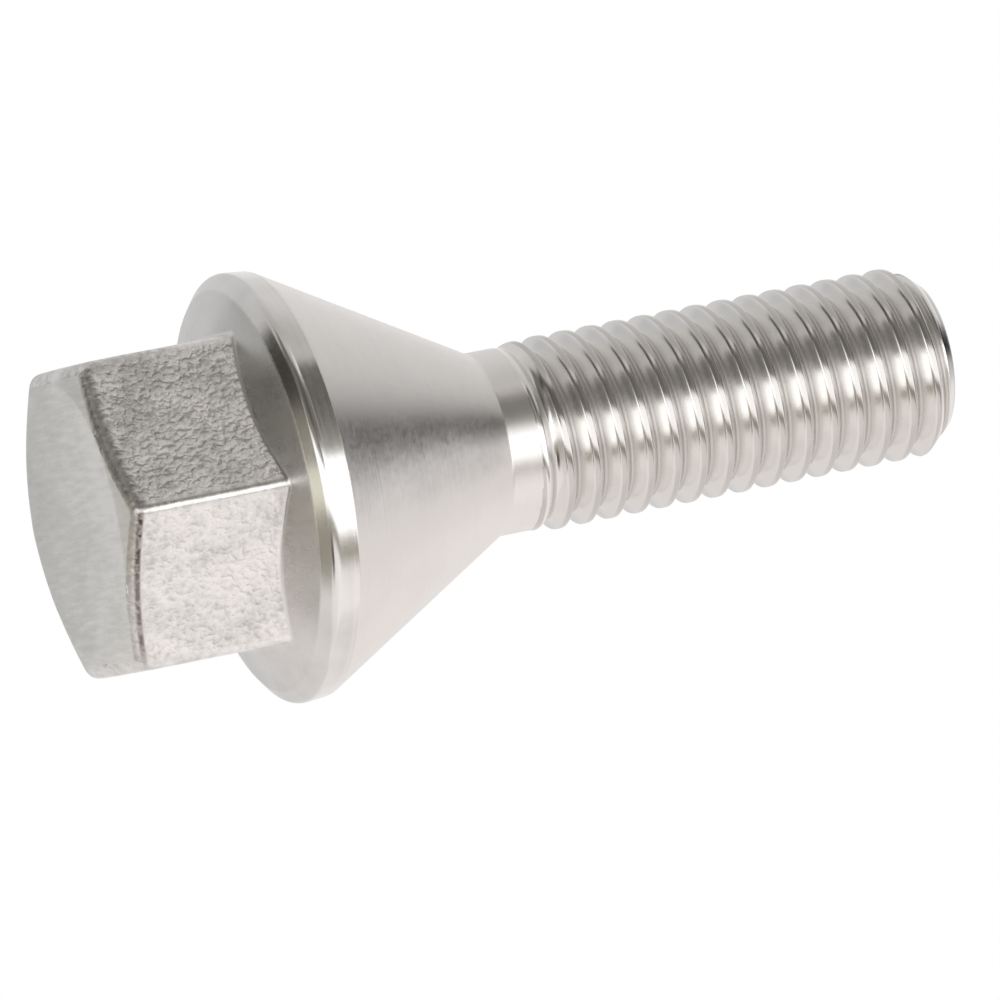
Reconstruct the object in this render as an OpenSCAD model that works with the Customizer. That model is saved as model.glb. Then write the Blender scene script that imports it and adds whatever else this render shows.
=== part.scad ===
// Wheel bolt with a hexagon head, a flange and a conical seat.
// Sizes in millimetres. The bolt stands on its head: z = 0 is the head's end
// face and +z runs along the bolt's axis to the thread's tip.

/* [Hexagon head] */
// Width across the flats of the hexagon
hex_af = 19; // [15:0.5:24]
// Height of the hexagon, from the end face to the flange at its corners
hex_h = 10.4; // [6:0.1:16]
// Diameter of the flat middle of the end face
face_d = 17.2; // [12:0.1:18.5]
// Angle of the chamfer round the end face
face_chamfer = 14.5; // [8:0.5:35]

/* [Flange] */
// Largest diameter of the flange
flange_d = 26.7; // [24:0.1:34]
// Slope of the flange's upper face down from the hexagon
flange_slope = 24; // [0:1:30]
// Width of the bevel round the upper face, across
bevel_w = 0.95; // [0.3:0.05:1.5]
// Slope of that bevel
bevel_slope = 38; // [20:1:60]
// Height of the rim between the bevel and the seat
rim_h = 1.6; // [0.8:0.05:4]
// Draft of the rim towards the seat, as an angle
rim_draft = 6; // [0:1:25]

/* [Conical seat] */
// Included angle of the seat
seat_angle = 60; // [50:1:90]

/* [Shank and thread] */
// Length from the small end of the seat to the tip
shank_l = 29.8; // [20:0.1:60]
// Diameter of the plain neck below the seat
neck_d = 11.4; // [10.8:0.05:11.8]
// Length of the plain neck
neck_l = 1.8; // [1.5:0.1:8]
// Outside diameter of the thread
thread_d = 11.9; // [11.8:0.05:12.4]
// Pitch of the thread
pitch = 1.75; // [1.25:0.25:2]
// Width of the thread's flat crest, as a share of the pitch
crest_share = 0.25; // [0.1:0.05:0.3]
// Width of its flat root, as a share of the pitch
root_share = 0.125; // [0.1:0.025:0.2]
// Height of the chamfer at the tip
tip_h = 1.5; // [0.8:0.1:2.5]
// Angle of that chamfer from the axis
tip_angle = 40; // [25:1:50]

/* [Hidden] */
// Half widths and heights worked out from the sizes above.
hex_corner_r = hex_af / 2 / cos(30);
flange_r = flange_d / 2;
flat_r = flange_r - bevel_w;
neck_r = neck_d / 2;
crest_r = thread_d / 2;
// Height of the upper face where the bevel starts, and of the rim's two edges.
flat_z = hex_h + (flat_r - hex_corner_r) * tan(flange_slope);
rim_z = flat_z + bevel_w * tan(bevel_slope);
seat_z = rim_z + rim_h;
seat_r = flange_r - rim_h * tan(rim_draft);
// Height of the small end of the seat, of the thread's start and of the tip.
neck_z = seat_z + (seat_r - neck_r) / tan(seat_angle / 2);
thread_z = neck_z + neck_l;
tip_z = neck_z + shank_l;
tip_r = crest_r - tip_h * tan(tip_angle);
// Apex height of the upper face, carried on inside the hexagon.
cone_z = hex_h - hex_corner_r * tan(flange_slope);

// Thread form: the crest's two edges and the root's two edges across one pitch,
// with flanks at sixty degrees between them.
flank_share = (1 - crest_share - root_share) / 2;
root_r = crest_r - pitch * flank_share * sqrt(3);
form_u = [-crest_share / 2, crest_share / 2, (1 - root_share) / 2, (1 + root_share) / 2];
form_r = [crest_r, crest_r, root_r, root_r];
form_n = 4;
// How far the hexagon runs on into the flange, and how far a cutting outline
// reaches beyond the metal.
overlap = 0.2;
reach = 1;
// Columns round one turn, and whole turns, with one spare below and one above.
columns = 36;
turns = ceil((tip_z - thread_z) / pitch) + 3;
rows = turns * form_n;
// The groove grows from just below the neck's surface over a turn or so, and
// the helix starts one turn inside the neck.
buried = 0.03;
buried_r = neck_r - buried;
lead_in = 1;
start_z = thread_z - lead_in * pitch;
run_out = 1.2;

$fa = 4;
$fs = 0.2;

// Which piece to draw

// Groove depth, from none to full, after a number of turns.
function grown(t) = min(1, max(0, (t - lead_in) / run_out));

// One corner of the thread's surface: row i, column j.
function corner(i, j) =
    let (t = floor(i / form_n) + form_u[i % form_n] + j / columns)
    let (r = buried_r + (form_r[i % form_n] - buried_r) * grown(t))
    [r * cos(360 * j / columns), r * sin(360 * j / columns), start_z + pitch * t];

// Number of that corner in the list; the column after the last one is the
// first column one turn further up.
function at(i, j) = j < columns ? i * columns + j : (i + form_n) * columns + j - columns;

module thread_body() {
    last = rows - form_n - 1;
    points = [
        for (i = [0 : rows - 1]) for (j = [0 : columns - 1]) corner(i, j),
        [0, 0, start_z - 2 * pitch],
        [0, 0, start_z + pitch * (turns + 2)]
    ];
    below = rows * columns;
    above = below + 1;
    sides = [
        for (i = [0 : last - 1]) for (j = [0 : columns - 1])
            for (k = [0 : 1])
                k == 0 ? [at(i, j), at(i + 1, j), at(i + 1, j + 1)]
                       : [at(i, j), at(i + 1, j + 1), at(i, j + 1)]
    ];
    bottom = [
        for (j = [0 : columns - 1]) [below, at(0, j), at(0, j + 1)],
        for (i = [0 : form_n - 1]) [below, at(i + 1, 0), at(i, 0)]
    ];
    top = [
        for (j = [0 : columns - 1]) [above, at(last, j + 1), at(last, j)],
        for (i = [0 : form_n - 1]) [above, at(last + i, 0), at(last + i + 1, 0)]
    ];
    polyhedron(points = points, faces = concat(sides, bottom, top), convexity = 10);
}

module thread() {
    intersection() {
        thread_body();
        rotate_extrude()
            polygon([
                [0, thread_z],
                [crest_r + reach, thread_z],
                [crest_r + reach, tip_z - tip_h - reach / tan(tip_angle)],
                [tip_r, tip_z],
                [0, tip_z]
            ]);
    }
}

module hexagon() {
    intersection() {
        cylinder(r = hex_corner_r, h = hex_h + overlap, $fn = 6);
        rotate_extrude()
            polygon([
                [0, 0],
                [face_d / 2, 0],
                [hex_corner_r + reach, (hex_corner_r + reach - face_d / 2) * tan(face_chamfer)],
                [hex_corner_r + reach, hex_h + reach],
                [0, hex_h + reach]
            ]);
    }
}

module flange_and_seat() {
    rotate_extrude()
        polygon([
            [0, cone_z],
            [flat_r, flat_z],
            [flange_r, rim_z],
            [seat_r, seat_z],
            [neck_r, neck_z],
            [neck_r, thread_z],
            [0, thread_z]
        ]);
}

module wheel_bolt() {
    color([0.78, 0.77, 0.75])
        union() {
            hexagon();
            flange_and_seat();
            thread();
        }
}

wheel_bolt();
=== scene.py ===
"""Wheel bolt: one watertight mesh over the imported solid, its metals, the lights and the camera."""

import math

import bpy
from mathutils import Matrix, Vector
from mathutils.noise import noise as perlin


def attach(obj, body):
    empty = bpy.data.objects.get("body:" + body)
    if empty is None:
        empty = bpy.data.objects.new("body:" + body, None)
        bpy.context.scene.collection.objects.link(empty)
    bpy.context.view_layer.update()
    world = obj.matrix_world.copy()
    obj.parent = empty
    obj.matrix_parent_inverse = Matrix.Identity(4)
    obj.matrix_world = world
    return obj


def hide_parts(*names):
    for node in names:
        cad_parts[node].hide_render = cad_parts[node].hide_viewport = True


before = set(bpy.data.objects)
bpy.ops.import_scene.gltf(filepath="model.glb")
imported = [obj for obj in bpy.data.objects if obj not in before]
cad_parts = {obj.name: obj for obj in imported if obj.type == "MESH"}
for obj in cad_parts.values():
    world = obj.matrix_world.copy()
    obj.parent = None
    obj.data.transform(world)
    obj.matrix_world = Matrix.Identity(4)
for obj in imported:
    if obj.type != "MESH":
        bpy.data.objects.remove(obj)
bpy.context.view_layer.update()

MM = 0.001


def rad(a):
    return math.radians(a)


# Sizes in millimetres, the same as the solid's.
HEX_AF, HEX_H, FACE_D, CHAMFER = 19.0, 10.4, 17.2, 14.5
FLANGE_D, FLANGE_SLOPE, BEVEL_W, BEVEL_SLOPE = 26.7, 24.0, 0.95, 38.0
RIM_H, RIM_DRAFT, SEAT_ANGLE = 1.6, 6.0, 60.0
SHANK_L, NECK_D, NECK_L = 29.8, 11.4, 1.8
THREAD_D, PITCH, TIP_H, TIP_ANGLE = 11.9, 1.75, 1.5, 40.0
CREST_SHARE, ROOT_SHARE = 0.25, 0.125
LEAD_IN, RUN_OUT = 1.0, 1.2

CORNER_R = HEX_AF / 2 / math.cos(rad(30))
FLANGE_R, NECK_R, CREST_R = FLANGE_D / 2, NECK_D / 2, THREAD_D / 2
FLAT_R = FLANGE_R - BEVEL_W
FLAT_Z = HEX_H + (FLAT_R - CORNER_R) * math.tan(rad(FLANGE_SLOPE))
RIM_Z = FLAT_Z + BEVEL_W * math.tan(rad(BEVEL_SLOPE))
SEAT_Z = RIM_Z + RIM_H
SEAT_R = FLANGE_R - RIM_H * math.tan(rad(RIM_DRAFT))
NECK_Z = SEAT_Z + (SEAT_R - NECK_R) / math.tan(rad(SEAT_ANGLE / 2))
THREAD_Z = NECK_Z + NECK_L
TIP_Z = NECK_Z + SHANK_L
TIP_R = CREST_R - TIP_H * math.tan(rad(TIP_ANGLE))
START_Z = THREAD_Z - LEAD_IN * PITCH
# Where the turned rings end and the thread's rows begin, on the plain neck above its fillet.
SEAM_Z, SEAM_STEP = NECK_Z + 0.4, 0.05

# Roundings of the edges that the solid leaves sharp.
CORNER_ROUND, END_ROUND, BASE_FILLET = 0.65, 1.05, 0.4
BEVEL_ROUND, RIM_ROUND, SEAT_ROUND, NECK_FILLET, TIP_ROUND = 0.5, 0.6, 0.2, 0.35, 0.12

# Depth of the forging's unevenness, and where it is read for the end's rounding and the base's fillet.
LUMPS, END_LUMPS_Z, BASE_LUMPS_Z = 0.05, 0.6, 10.2

# Short steps beside the roundings, which keep their shading off the flat surfaces.
SUPPORT, FACE_STEP, FACE_EASE = 0.06, 0.12, 0.004


# The mesh.
def hexagon_angles():
    """Angles of the columns: about 3 degrees apart, and close together at the six corners."""
    near = [0.0, 0.28, 0.62, 0.95, 1.22, 1.5, 2.2, 3.6]
    flat = [3.0 * k for k in range(2, 11)]
    angles = set()
    for corner in range(6):
        for a in near + flat:
            angles.add(round((corner * 60 + a) % 360, 4))
            angles.add(round((corner * 60 - a) % 360, 4))
    return sorted(angles)


ANGLES = hexagon_angles()
COLUMNS = len(ANGLES)


def hexagon_r(angle):
    """Radius of the hexagon with rounded corners, at an angle in degrees."""
    psi = rad(((angle + 30) % 60) - 30)
    middle = (HEX_AF / 2 - CORNER_ROUND) / math.cos(rad(30))
    edge = rad(30) - math.atan((HEX_AF / 2 - CORNER_ROUND) / (HEX_AF / 2) * math.tan(rad(30)))
    if abs(psi) < edge:
        return middle * math.cos(psi) + math.sqrt(CORNER_ROUND**2 - (middle * math.sin(psi)) ** 2)
    return HEX_AF / 2 / math.cos(rad(30) - abs(psi))


def rounded(points, radii, steps):
    """A polyline's points with its inner corners rounded by arcs, and a support point each side."""
    out = [Vector(points[0])]
    for before, here, after, radius, n in zip(points, points[1:], points[2:], radii, steps):
        p, q, r = Vector(before), Vector(here), Vector(after)
        u, v = (p - q).normalized(), (r - q).normalized()
        half = math.acos(max(-1, min(1, u.dot(v)))) / 2
        cut = radius / math.tan(half)
        centre = q + (u + v).normalized() * (radius / math.sin(half))
        a, b = q + u * cut - centre, q + v * cut - centre
        out.append(q + u * (cut + SUPPORT))
        turn = math.atan2(a.x * b.y - a.y * b.x, a.dot(b))
        for i in range(n + 1):
            t = turn * i / n
            x = a.x * math.cos(t) - a.y * math.sin(t)
            y = a.x * math.sin(t) + a.y * math.cos(t)
            out.append(centre + Vector((x, y)))
        out.append(q + v * (cut + SUPPORT))
    out.append(Vector(points[-1]))
    return out


def between(a, b, n):
    """The inner points of a line cut into n equal pieces."""
    return [a + (b - a) * i / n for i in range(1, n)]


def forged_r(angle, z):
    """Radius of the uneven hexagon: a forged face only loses metal here, so that it stays in its box."""
    r = hexagon_r(angle)
    x, y = r * math.cos(rad(angle)), r * math.sin(rad(angle))
    wide, fine = 0.42, 1.3
    a = perlin(Vector((x * wide, y * wide, z * wide + 7)))
    b = perlin(Vector((x * fine + 3, y * fine, z * fine)))
    return r - LUMPS * (0.5 + 0.5 * (0.7 * a + 0.3 * b))


def head_rings():
    """Rings of the hexagon from the end face to the flange: functions of the angle giving (r, z)."""
    slope, top = math.tan(rad(CHAMFER)), math.tan(rad(FLANGE_SLOPE))
    face_r = FACE_D / 2
    rings = []
    for r in (1.2, 3.0, 5.0, 7.0, 8.1, face_r - FACE_STEP):
        rings.append(("face", lambda a, r=r: (r, 0.0)))
    rings.append(("face", lambda a: (face_r, FACE_EASE)))

    def end_arc(a, share):
        cr = forged_r(a, END_LUMPS_Z) - END_ROUND
        cz = (cr - face_r) * slope + END_ROUND / math.cos(rad(CHAMFER))
        t = rad(-90 + CHAMFER) * (1 - share)
        return cr + END_ROUND * math.cos(t), cz + END_ROUND * math.sin(t)

    def chamfer(a, share):
        r1 = end_arc(a, 0)[0]
        r = face_r + FACE_STEP + (r1 - face_r - FACE_STEP) * share
        return r, (r - face_r) * slope

    for share in (0.0, 0.5, 0.94):
        rings.append(("face", lambda a, s=share: chamfer(a, s)))
    for share in (0.0, 0.2, 0.4, 0.6, 0.8, 1.0):
        rings.append(("edge" if share else "face", lambda a, s=share: end_arc(a, s)))

    def base_arc(a, share):
        cr = forged_r(a, BASE_LUMPS_Z) + BASE_FILLET
        cz = HEX_H + (cr - CORNER_R) * top - BASE_FILLET / math.cos(rad(FLANGE_SLOPE))
        t = rad(180 - (90 - FLANGE_SLOPE) * share)
        return cr + BASE_FILLET * math.cos(t), cz + BASE_FILLET * math.sin(t)

    def side(a, share):
        z0, z1 = end_arc(a, 1)[1], base_arc(a, 0)[1]
        z = z0 + (z1 - z0) * share
        return forged_r(a, z), z

    rows = 26
    for share in [0.012] + [k / rows for k in range(1, rows)] + [0.99]:
        rings.append(("side", lambda a, s=share: side(a, s)))
    for share in (0.0, 0.25, 0.5, 0.75, 1.0):
        rings.append(("side" if share < 0.3 else "flange", lambda a, s=share: base_arc(a, s)))

    def upper(a, share):
        r0 = base_arc(a, 1)[0]
        start, end = 0.08, 0.35
        r = r0 + start + (FLAT_R - end - r0) * share
        return r, HEX_H + (r - CORNER_R) * top

    for share in (0.0, 0.4, 0.8):
        rings.append(("flange", lambda a, s=share: upper(a, s)))
    return rings


def turned_rings():
    """Rings of the flange's edge, the seat and the neck, as (region, r, z)."""
    lead = 0.3
    points = [
        (FLAT_R - lead, FLAT_Z - lead * math.tan(rad(FLANGE_SLOPE))),
        (FLAT_R, FLAT_Z),
        (FLANGE_R, RIM_Z),
        (SEAT_R, SEAT_Z),
        (NECK_R, NECK_Z),
        (NECK_R, SEAM_Z - SEAM_STEP),
    ]
    line = rounded(points, (BEVEL_ROUND, RIM_ROUND, SEAT_ROUND, NECK_FILLET), (3, 6, 3, 4))
    long_stretch, pieces = 3, 12
    out = []
    for i, p in enumerate(line):
        if i and (p - line[i - 1]).length > long_stretch:
            out += between(line[i - 1], p, pieces)
        out.append(p)
    bright_from, bright_to = RIM_Z - 0.65, SEAT_Z - 0.02
    rings = []
    for p in out:
        region = "seat"
        if p.y < bright_from:
            region = "flange"
        elif p.y < bright_to:
            region = "rim"
        rings.append((region, p.x, p.y))
    return rings


# The thread's form, with flanks at sixty degrees, as places across one pitch counted from the
# middle of a crest, close together at the roundings.
FLANK = math.sqrt(3) * PITCH
DEPTH = (1 - CREST_SHARE - ROOT_SHARE) / 2 * FLANK
HALF_FORM = [0.0, 0.05, 0.085, 0.11, 0.135, 0.165, 0.22, 0.29, 0.36, 0.4, 0.43, 0.46, 0.5]
FORM = HALF_FORM + [1 - u for u in reversed(HALF_FORM[1:-1])]
FORM_N = len(FORM)


def form_depth(u):
    """Depth below the crest at a place across the pitch, with both corners eased."""
    at_crest, at_root = 0.07, 0.16
    flank = (min(u, 1 - u) - CREST_SHARE / 2) * FLANK
    cut = (flank + math.hypot(flank, at_crest)) / 2
    return (cut + DEPTH - math.hypot(DEPTH - cut, at_root)) / 2


# Heights between which the thread's rows stand; beyond them they fold on to a ring.
CLIP_LOW, CLIP_HIGH = SEAM_Z, TIP_Z - 0.16
FOLD_LOW, FOLD_HIGH = 1e-4, 0.02


def thread_point(row, column):
    """One point of the thread's surface as (r, z)."""
    u = FORM[row % FORM_N]
    depth = form_depth(u)
    t = row // FORM_N + u + ANGLES[column] / 360
    z = START_Z + PITCH * (t - 1)
    grown = min(1, max(0, (t - 1 - LEAD_IN) / RUN_OUT))
    grown = grown * grown * (3 - 2 * grown)
    r = NECK_R + (CREST_R - depth - NECK_R) * grown
    cut = TIP_R + (TIP_Z - z) * math.tan(rad(TIP_ANGLE))
    return min(r, cut), z


def build_mesh():
    """The whole bolt's vertices and faces, with the region that each face belongs to."""
    verts, faces, regions = [], [], []

    def add(r, z, column):
        a = rad(ANGLES[column])
        verts.append((r * math.cos(a) * MM, r * math.sin(a) * MM, z * MM))
        return len(verts) - 1

    def face(loop, region):
        loop = [v for i, v in enumerate(loop) if v != loop[i - 1]]
        if len(set(loop)) >= 3:
            faces.append(loop)
            regions.append(region)

    verts.append((0.0, 0.0, 0.0))
    ring = None
    for region, shape in head_rings():
        new = [add(*shape(ANGLES[j]), j) for j in range(COLUMNS)]
        for j in range(COLUMNS):
            k = (j + 1) % COLUMNS
            if ring is None:
                face([0, new[k], new[j]], region)
            else:
                face([ring[j], ring[k], new[k], new[j]], region)
        ring = new
    for region, r, z in turned_rings():
        new = [add(r, z, j) for j in range(COLUMNS)]
        for j in range(COLUMNS):
            k = (j + 1) % COLUMNS
            face([ring[j], ring[k], new[k], new[j]], region)
        ring = new

    # The thread: rows climb with the helix, and fold on to one ring at each end.
    rows = FORM_N * (int((TIP_Z - START_Z) / PITCH) + 4)
    low = [add(NECK_R, CLIP_LOW, j) for j in range(COLUMNS)]
    for j in range(COLUMNS):
        k = (j + 1) % COLUMNS
        face([ring[j], ring[k], low[k], low[j]], "seat")
    high_r = TIP_R + (TIP_Z - CLIP_HIGH) * math.tan(rad(TIP_ANGLE))
    high = [add(high_r, CLIP_HIGH, j) for j in range(COLUMNS)]
    grid = {}

    def at(row, column):
        if column == COLUMNS:
            row, column = row + FORM_N, 0
        if (row, column) not in grid:
            r, z = thread_point(row, column)
            if z <= CLIP_LOW + FOLD_LOW:
                grid[row, column] = low[column]
            elif z >= CLIP_HIGH - FOLD_HIGH:
                grid[row, column] = high[column]
            else:
                grid[row, column] = add(r, z, column)
        return grid[row, column]

    for row in range(rows):
        for j in range(COLUMNS):
            z = START_Z + PITCH * (row / FORM_N - 1 + ANGLES[j] / 360)
            region = "seat" if z < THREAD_Z + 0.1 else "thread"
            face([at(row, j), at(row, j + 1), at(row + 1, j + 1), at(row + 1, j)], region)

    # The tip: its rounded edge, and two rings of its flat end.
    line = rounded([(high_r, CLIP_HIGH), (TIP_R, TIP_Z), (0.0, TIP_Z)], (TIP_ROUND,), (4,))[1:-1]
    ring = high
    for p in line + [Vector((3.0, TIP_Z)), Vector((1.2, TIP_Z))]:
        new = [add(p.x, p.y, j) for j in range(COLUMNS)]
        for j in range(COLUMNS):
            k = (j + 1) % COLUMNS
            face([ring[j], ring[k], new[k], new[j]], "tip")
        ring = new
    verts.append((0.0, 0.0, TIP_Z * MM))
    top = len(verts) - 1
    for j in range(COLUMNS):
        face([ring[j], ring[(j + 1) % COLUMNS], top], "tip")
    return verts, faces, regions


# The materials.
BLACK, WHITE = (0.0, 0.0, 0.0), (1.0, 1.0, 1.0)


class Tree:
    """Short names for making nodes."""

    def __init__(self, material):
        self.t = material.node_tree
        self.t.nodes.clear()

    def node(self, kind, **values):
        n = self.t.nodes.new(kind)
        for name, value in values.items():
            setattr(n, name, value)
        return n

    def link(self, a, b):
        self.t.links.new(a, b)

    def value(self, x, socket):
        if isinstance(x, (int, float)):
            socket.default_value = x
        else:
            self.link(x, socket)

    def math(self, op, a, b=0.0):
        n = self.node("ShaderNodeMath", operation=op)
        for x, socket in zip((a, b), n.inputs):
            self.value(x, socket)
        return n.outputs[0]

    def product(self, first, *others):
        for other in others:
            first = self.math("MULTIPLY", first, other)
        return first

    def noise(self, vector, scale, detail=2.0, rough=0.5, distortion=0.0):
        n = self.node("ShaderNodeTexNoise")
        self.link(vector, n.inputs["Vector"])
        n.inputs["Scale"].default_value = scale
        n.inputs["Detail"].default_value = detail
        n.inputs["Roughness"].default_value = rough
        n.inputs["Distortion"].default_value = distortion
        return n.outputs["Fac"]

    def ramp(self, x, stops):
        n = self.node("ShaderNodeValToRGB")
        self.link(x, n.inputs[0])
        els = n.color_ramp.elements
        while len(els) > 1:
            els.remove(els[-1])
        els[0].position, els[0].color = stops[0][0], (*stops[0][1], 1)
        for p, c in stops[1:]:
            els.new(p).color = (*c, 1)
        return n.outputs[0]

    def blend(self, share, below, above):
        n = self.node("ShaderNodeMix", data_type="RGBA")
        self.value(share, n.inputs[0])
        for x, socket in ((below, n.inputs[6]), (above, n.inputs[7])):
            if isinstance(x, tuple):
                socket.default_value = (*x, 1)
            else:
                self.link(x, socket)
        return n.outputs[2]

    def span(self, x, lo, hi, to_lo=0.0, to_hi=1.0):
        n = self.node("ShaderNodeMapRange")
        self.link(x, n.inputs[0])
        for i, v in enumerate((lo, hi, to_lo, to_hi)):
            n.inputs[i + 1].default_value = v
        return n.outputs[0]

    def scaled(self, vector, scale):
        n = self.node("ShaderNodeMapping")
        self.link(vector, n.inputs["Vector"])
        n.inputs["Scale"].default_value = scale
        return n.outputs[0]

    def parts(self, position):
        """The three coordinates of a position, in metres."""
        n = self.node("ShaderNodeSeparateXYZ")
        self.link(position, n.inputs[0])
        return n.outputs[0], n.outputs[1], n.outputs[2]

    def polar(self, position):
        """Distance from the axis, turn about it, and height, in metres and turns."""
        x, y, z = self.parts(position)
        r = self.math("SQRT", self.math("ADD", self.product(x, x), self.product(y, y)))
        turn = self.math("DIVIDE", self.math("ARCTAN2", y, x), 2 * math.pi)
        return r, turn, z

    def xyz(self, x, y, z):
        n = self.node("ShaderNodeCombineXYZ")
        for v, socket in zip((x, y, z), n.inputs):
            self.value(v, socket)
        return n.outputs[0]

    def bump(self, height, strength, distance, normal=None):
        n = self.node("ShaderNodeBump")
        self.value(strength, n.inputs["Strength"])
        n.inputs["Distance"].default_value = distance
        self.link(height, n.inputs["Height"])
        if normal is not None:
            self.link(normal, n.inputs["Normal"])
        return n.outputs[0]


def metal(name, build, brushed=0.0):
    """A metal whose colour, roughness and normal come from a function of the position."""
    m = bpy.data.materials.new(name)
    m.use_nodes = True
    t = Tree(m)
    out = t.node("ShaderNodeOutputMaterial")
    shader = t.node("ShaderNodeBsdfPrincipled")
    shader.inputs["Metallic"].default_value = 1.0
    if brushed:
        shader.inputs["Anisotropic"].default_value = brushed
        shader.inputs["Anisotropic Rotation"].default_value = 0.25
        round_axis = t.node("ShaderNodeTangent", direction_type="RADIAL", axis="Z")
        t.link(round_axis.outputs[0], shader.inputs["Tangent"])
    t.link(shader.outputs[0], out.inputs[0])
    position = t.node("ShaderNodeTexCoord").outputs["Object"]
    colour, roughness, normal = build(t, position)
    t.link(colour, shader.inputs["Base Color"])
    t.value(roughness, shader.inputs["Roughness"])
    t.link(normal, shader.inputs["Normal"])
    m.diffuse_color = (0.76, 0.75, 0.73, 1)
    return m


def forged(t, p):
    """The hexagon's flats: plated over a pitted forging skin, smoother where its edges are worn, with
    painted shade on the flats of one side.
    """
    x, y, _ = t.parts(p)
    r, _, z = t.polar(p)
    skin = t.product(
        t.span(r, (CORNER_R - 0.36) * MM, (CORNER_R - 0.2) * MM, 1.0, 0.15),
        t.span(z, 0.5 * MM, 1.3 * MM, 0.35, 1.0),
    )
    pits = t.noise(p, 2400, 1, 0.5, 0.3)
    fine = t.noise(p, 4200, 2, 0.6)
    wide = t.noise(p, 420, 2, 0.5)
    tone = t.math("ADD", t.product(pits, 0.5), t.product(wide, 0.5))
    # Painted shade: the flats on the side of negative y are painted greyer and patchier, less so towards
    # the flange, standing in for their shading.
    painted_shade_side = t.product(t.span(y, 0.0, -5 * MM), t.span(z, 9.4 * MM, 6.0 * MM))
    painted_shade_patches = t.product(t.math("SUBTRACT", tone, 0.62), 0.6)
    tone = t.math("ADD", tone, t.product(painted_shade_side, painted_shade_patches))
    dark, middle, bright = (0.6, 0.585, 0.57), (0.8, 0.78, 0.765), (0.88, 0.855, 0.84)
    colour = t.ramp(tone, [(0.3, dark), (0.5, middle), (0.62, bright)])
    # A brown line along the end edge of one flat, at a height counted from the end's chamfer.
    out = t.math("SUBTRACT", r, FACE_D / 2 * MM)
    over = t.math("SUBTRACT", z, t.product(out, math.tan(rad(CHAMFER))))
    brown = t.product(
        t.span(over, 0.16 * MM, 0.28 * MM),
        t.span(over, 0.52 * MM, 0.4 * MM),
        t.span(x, 5.2 * MM, 6.2 * MM),
        t.span(y, -0.2 * MM, 0.3 * MM),
        t.span(y, 1.5 * MM, 4.5 * MM, 1.0, 0.8),
        t.span(pits, 0.36, 0.56, 0.45, 1.0),
    )
    colour = t.blend(brown, colour, (0.13, 0.085, 0.065))
    rough = t.span(fine, 0.3, 0.7, 0.26, 0.38)
    n = t.bump(wide, t.product(skin, 0.4), 0.0002)
    n = t.bump(pits, t.product(skin, 0.6), 0.00014, n)
    n = t.bump(fine, t.product(skin, 0.4), 0.00003, n)
    return colour, rough, n


def end_face(t, p):
    """The head's end: smoother, with faint straight brushing, and painted light that brightens it
    towards one side.
    """
    x, y, _ = t.parts(p)
    brushing = t.noise(t.scaled(p, (0.12, 1.0, 0.12)), 2600, 3, 0.6)
    fine = t.noise(p, 2400, 2, 0.6)
    wide = t.noise(p, 220, 3, 0.5)
    tone = t.math("ADD", t.product(brushing, 0.5), t.product(wide, 0.3))
    # Painted light: the tone rises towards positive x and towards positive y, standing in for the end
    # face's shading.
    tone = t.math("ADD", tone, t.span(x, -9 * MM, 9 * MM, -0.01, 0.27))
    tone = t.math("ADD", tone, t.span(y, 2 * MM, 9 * MM, 0.0, 0.08))
    dark, middle, bright = (0.64, 0.635, 0.62), (0.74, 0.73, 0.71), (0.88, 0.87, 0.845)
    colour = t.ramp(tone, [(0.32, dark), (0.5, middle), (0.68, bright)])
    rough = t.span(fine, 0.3, 0.7, 0.34, 0.44)
    n = t.bump(brushing, 0.22, 0.00005)
    n = t.bump(fine, 0.2, 0.00003, n)
    return colour, rough, n


def turned(t, p, fine_scale, strength, rough_lo, rough_hi):
    """Turned and plated: fine grooves round the axis, and a little unevenness."""
    r, turn, z = t.polar(p)
    along = t.math("SUBTRACT", z, t.product(r, 0.6))
    grooves = t.noise(t.xyz(along, t.product(turn, 0.0006), 0.0), fine_scale, 3, 0.65)
    wide = t.noise(p, 300, 3, 0.5)
    grain = t.noise(p, 2600, 2, 0.6)
    tone = t.math("ADD", t.product(grooves, 0.35), t.product(wide, 0.65))
    dark, middle, bright = (0.68, 0.66, 0.64), (0.77, 0.755, 0.74), (0.84, 0.83, 0.81)
    colour = t.ramp(tone, [(0.3, dark), (0.5, middle), (0.7, bright)])
    worn = t.math("ADD", t.product(grain, 0.6), t.product(wide, 0.4))
    rough = t.span(worn, 0.3, 0.7, rough_lo, rough_hi)
    n = t.bump(grooves, strength, 0.00004)
    n = t.bump(grain, strength * 0.5, 0.00002, n)
    return colour, rough, n


def flange_metal(t, p):
    return turned(t, p, 2600, 0.25, 0.24, 0.34)


def rim_metal(t, p):
    return turned(t, p, 2200, 0.15, 0.14, 0.2)


def seat_metal(t, p):
    colour, rough, n = turned(t, p, 3400, 0.3, 0.3, 0.4)
    return t.blend(0.6, colour, (0.87, 0.835, 0.815)), rough, n


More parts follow.
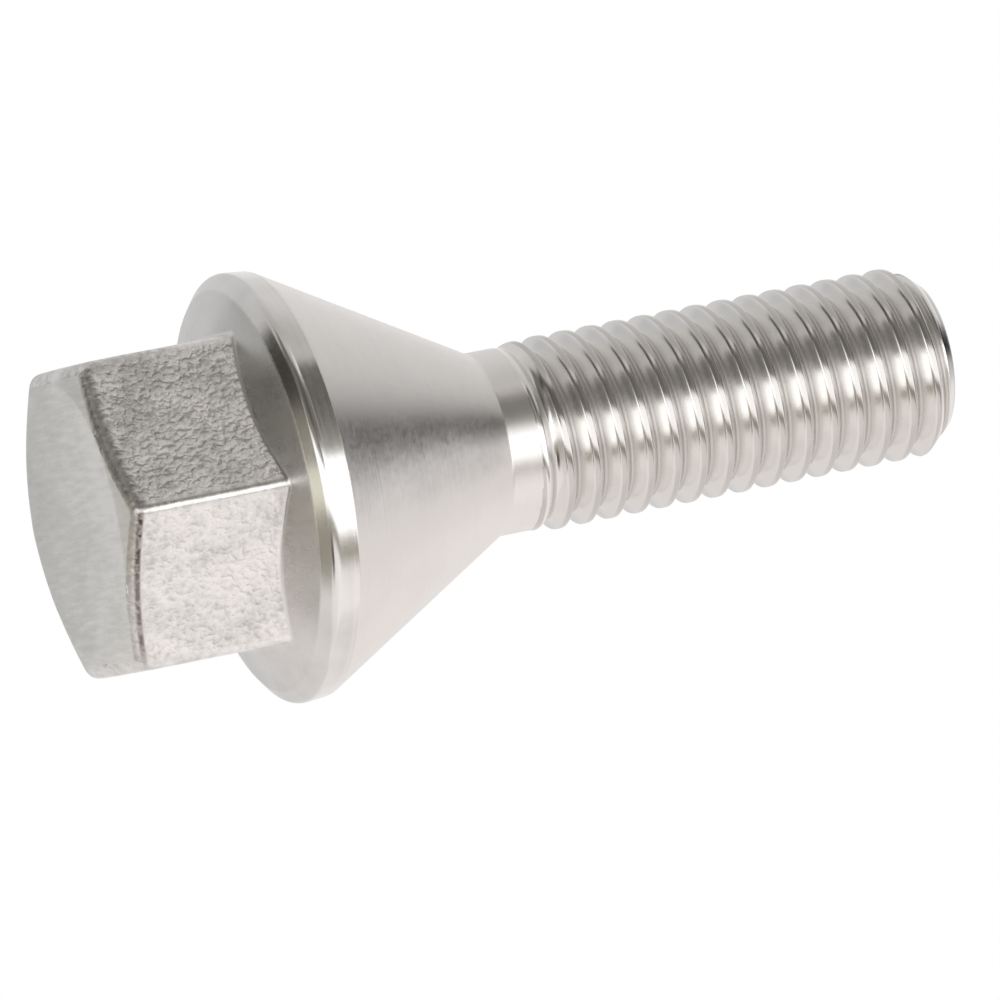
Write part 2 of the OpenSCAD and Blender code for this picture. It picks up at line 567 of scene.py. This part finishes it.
def thread_metal(t, p):
    """Rolled thread: bright flanks, greyer crests, and painted shade along the grooves, where the metal
    is also rougher.
    """
    colour, rough, n = turned(t, p, 1800, 0.08, 0.14, 0.22)
    colour = t.blend(0.75, colour, (0.88, 0.862, 0.84))
    r, turn, z = t.polar(p)
    climb = t.math("DIVIDE", t.math("SUBTRACT", z, START_Z * MM), PITCH * MM)
    across = t.math("FRACT", t.math("SUBTRACT", climb, turn))
    # Painted shade in the grooves: a darker colour where the groove is deep, and more roughness there
    # too.
    groove = t.ramp(across, [(0.3, BLACK), (0.4, WHITE), (0.56, WHITE), (0.61, BLACK)])
    deep = t.span(r, (CREST_R - 0.1) * MM, (CREST_R - 0.5) * MM)
    groove_shade_and_dull = t.product(groove, deep)
    crest = t.ramp(across, [(0.1, WHITE), (0.15, BLACK), (0.87, BLACK), (0.93, WHITE)])
    colour = t.blend(crest, colour, (0.6, 0.575, 0.555))
    colour = t.blend(groove_shade_and_dull, colour, (0.66, 0.635, 0.615))
    rough = t.math("ADD", rough, t.product(groove_shade_and_dull, 0.25))
    return colour, rough, n


# The object.
def make_bolt():
    """The mesh with its metals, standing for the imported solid."""
    verts, faces, regions = build_mesh()
    mesh = bpy.data.meshes.new("bolt")
    mesh.from_pydata(verts, [], faces)
    kinds = {
        "face": metal("end_face_metal", end_face),
        "side": metal("forged_metal", forged),
        "flange": metal("flange_metal", flange_metal),
        "rim": metal("rim_metal", rim_metal),
        "seat": metal("seat_metal", seat_metal, 0.6),
        "thread": metal("thread_metal", thread_metal),
    }
    kinds["edge"], kinds["tip"] = kinds["side"], kinds["flange"]
    order = []
    for m in kinds.values():
        if m not in order:
            order.append(m)
            mesh.materials.append(m)
    for polygon, region in zip(mesh.polygons, regions):
        polygon.material_index = order.index(kinds[region])
        polygon.use_smooth = True
    mesh.validate()
    mesh.update()
    bolt = bpy.data.objects.new("bolt", mesh)
    bpy.context.scene.collection.objects.link(bolt)
    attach(bolt, "root")
    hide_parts("wheel_bolt")


make_bolt()


# The camera, as the photo: the angle between the bolt's axis and the line of sight, the roll
# about that line, the distance, and the point of the axis that it looks past.
VIEW_ANGLE, ROLL, DISTANCE = rad(70.93), rad(11.22), 770.4
AIM_Z, AIM_RIGHT, AIM_UP = 24.45, 3.04, -2.99
LENS, SENSOR = 453.4, 36.0
ACROSS, ALONG = math.sin(VIEW_ANGLE), math.cos(VIEW_ANGLE)
RIGHT = Vector((ALONG * math.cos(ROLL), math.sin(ROLL), ACROSS * math.cos(ROLL)))
UP = Vector((ALONG * math.sin(ROLL), -math.cos(ROLL), ACROSS * math.sin(ROLL)))
AWAY = Vector((-ACROSS, 0, ALONG))
EYE = (Vector((0, 0, AIM_Z)) + RIGHT * AIM_RIGHT + UP * AIM_UP - AWAY * DISTANCE) * MM
bpy.context.scene.view_settings.view_transform = "Standard"
camera_data = bpy.data.cameras.new("camera")
camera_data.lens = LENS
camera_data.sensor_width = SENSOR
camera_data.clip_start, camera_data.clip_end = 0.01, 20.0
camera = bpy.data.objects.new("camera", camera_data)
bpy.context.scene.collection.objects.link(camera)
turned_to = Matrix((RIGHT, UP, -AWAY)).transposed()
camera.matrix_world = Matrix.Translation(EYE) @ turned_to.to_4x4()
bpy.context.scene.camera = camera


# Floor and studio.
def make_floor():
    """A pale floor just under the bolt, seen from above only and lighting nothing."""
    half, z = 1.5, -0.0003
    mesh = bpy.data.meshes.new("floor")
    corners = [(-half, -half, z), (half, -half, z), (half, half, z), (-half, half, z)]
    mesh.from_pydata(corners, [], [(0, 1, 2, 3)])
    m = bpy.data.materials.new("floor")
    m.use_nodes = True
    t = Tree(m)
    out = t.node("ShaderNodeOutputMaterial")
    paint = t.node("ShaderNodeBsdfDiffuse")
    paint.inputs["Color"].default_value = (0.86, 0.86, 0.86, 1)
    clear = t.node("ShaderNodeBsdfTransparent")
    mix = t.node("ShaderNodeMixShader")
    t.link(t.node("ShaderNodeNewGeometry").outputs["Backfacing"], mix.inputs[0])
    t.link(paint.outputs[0], mix.inputs[1])
    t.link(clear.outputs[0], mix.inputs[2])
    t.link(mix.outputs[0], out.inputs[0])
    mesh.materials.append(m)
    floor = bpy.data.objects.new("floor", mesh)
    bpy.context.scene.collection.objects.link(floor)
    floor.visible_diffuse = False
    floor.visible_glossy = False
    floor.visible_shadow = False
    floor.visible_transmission = False


make_floor()


# The studio's panels in the order in which they are laid, a later one over an earlier one: left
# and right edge in degrees round the camera's upright from its place, low and high edge in
# degrees above its level, brightness, tint, and width of the soft edge in degrees.
WARM, PINK, OLIVE, YELLOW = (1.0, 0.94, 0.84), (1.0, 0.965, 0.95), (1.0, 0.93, 0.77), (1.0, 0.98, 0.82)
PANELS = [
    # What the end face looks at, on the left and behind.
    (-175, -112, -60, 60, 0.68, WHITE, 16),
    (-180, -84, -70, -20, 0.8, PINK, 10),
    (-134, -104, -4, 20, 0.5, WHITE, 14),
    # Dim strips below the lamp.
    (-112, -58, -33, -8, 0.35, OLIVE, 9),
    (-84, -35, -40, -24, 0.34, OLIVE, 8),
    (-58, 96, -33, -22, 0.35, OLIVE, 6),
    # The bright panel that the lower flat looks at.
    (30, 92, -80, -37, 1.02, PINK, 8),
    # Flags above the lamp, and the bright panel over them that the upper flat looks at.
    (-78, 42, 17, 56, 0.18, WARM, 9),
    (-34, 6, 18, 58, 0.11, WARM, 9),
    (46, 76, 17, 64, 0.12, WARM, 5),
    (46, 76, 17, 30, 0.26, WARM, 8),
    (20, 46, 60, 74, 1.0, PINK, 7),
    # Flags for the dark edges of the head.
    (-54, -22, -48, -32, 0.08, WARM, 6),
    (-107, -62, -9, 14, 0.25, OLIVE, 8),
    (-99, -62, 9, 27, 0.05, OLIVE, 7),
    # The grey and the black flag that make the band along the conical seat.
    (78, 124, -7, 12, 0.45, PINK, 10),
    (77, 129, 8, 28.6, 0.0, WARM, 8),
    # The wide lamp in front, its yellower end, and a flag over its upper left.
    (-58, 82, -19, 18, 1.6, WHITE, 6),
    (-76, -55, -19, -7, 0.9, YELLOW, 5),
    (-58, 18, 6, 20, 0.2, OLIVE, 8),
]


def make_world():
    """A studio round the bolt: a tent of soft light, a wide lamp in front, and dark flags beside it."""
    world = bpy.data.worlds.new("studio")
    bpy.context.scene.world = world
    world.use_nodes = True
    t = Tree(world)
    out = t.node("ShaderNodeOutputWorld")
    direction = t.node("ShaderNodeTexCoord").outputs["Generated"]

    def along(axis):
        n = t.node("ShaderNodeVectorMath", operation="DOT_PRODUCT")
        t.link(direction, n.inputs[0])
        n.inputs[1].default_value = axis
        return n.outputs["Value"]

    right, up, front = along(RIGHT), along(UP), along(-AWAY)
    turn = t.math("MULTIPLY", t.math("ARCTAN2", right, front), 180 / math.pi)
    height = t.math("MULTIPLY", t.math("ARCSINE", up), 180 / math.pi)

    def step(x, centre, soft):
        n = t.node("ShaderNodeMapRange", interpolation_type="SMOOTHSTEP")
        t.link(x, n.inputs[0])
        n.inputs[1].default_value = centre - soft / 2
        n.inputs[2].default_value = centre + soft / 2
        return n.outputs[0]

    def panel(light, left, right_edge, low, high, level, tint, soft):
        """Lay a soft-edged panel over part of the studio."""
        inside = t.product(step(turn, left, soft), step(height, low, soft))
        beyond = t.math("SUBTRACT", 1.0, step(turn, right_edge, soft))
        outside = t.product(beyond, t.math("SUBTRACT", 1.0, step(height, high, soft)))
        return t.blend(t.product(inside, outside), light, tuple(level * c for c in tint))

    back = t.ramp(
        t.span(front, -1.0, 1.0),
        [
            (0.0, (1.0, 1.0, 1.0)),
            (0.08, (0.82, 0.81, 0.8)),
            (0.25, (0.74, 0.73, 0.72)),
            (0.5, (0.58, 0.57, 0.56)),
        ],
    )
    light = t.blend(step(height, 5, 16), tuple(0.92 * c for c in PINK), back)
    for left, right_edge, low, high, level, tint, soft in PANELS:
        light = panel(light, left, right_edge, low, high, level, tint, soft)
    studio = t.node("ShaderNodeBackground")
    t.link(light, studio.inputs[0])
    studio.inputs[1].default_value = 1.0
    plain = t.node("ShaderNodeBackground")
    plain.inputs[0].default_value = (1, 1, 1, 1)
    plain.inputs[1].default_value = 1.0
    pick = t.node("ShaderNodeMixShader")
    t.link(t.node("ShaderNodeLightPath").outputs["Is Camera Ray"], pick.inputs[0])
    t.link(studio.outputs[0], pick.inputs[1])
    t.link(plain.outputs[0], pick.inputs[2])
    t.link(pick.outputs[0], out.inputs[0])


make_world()
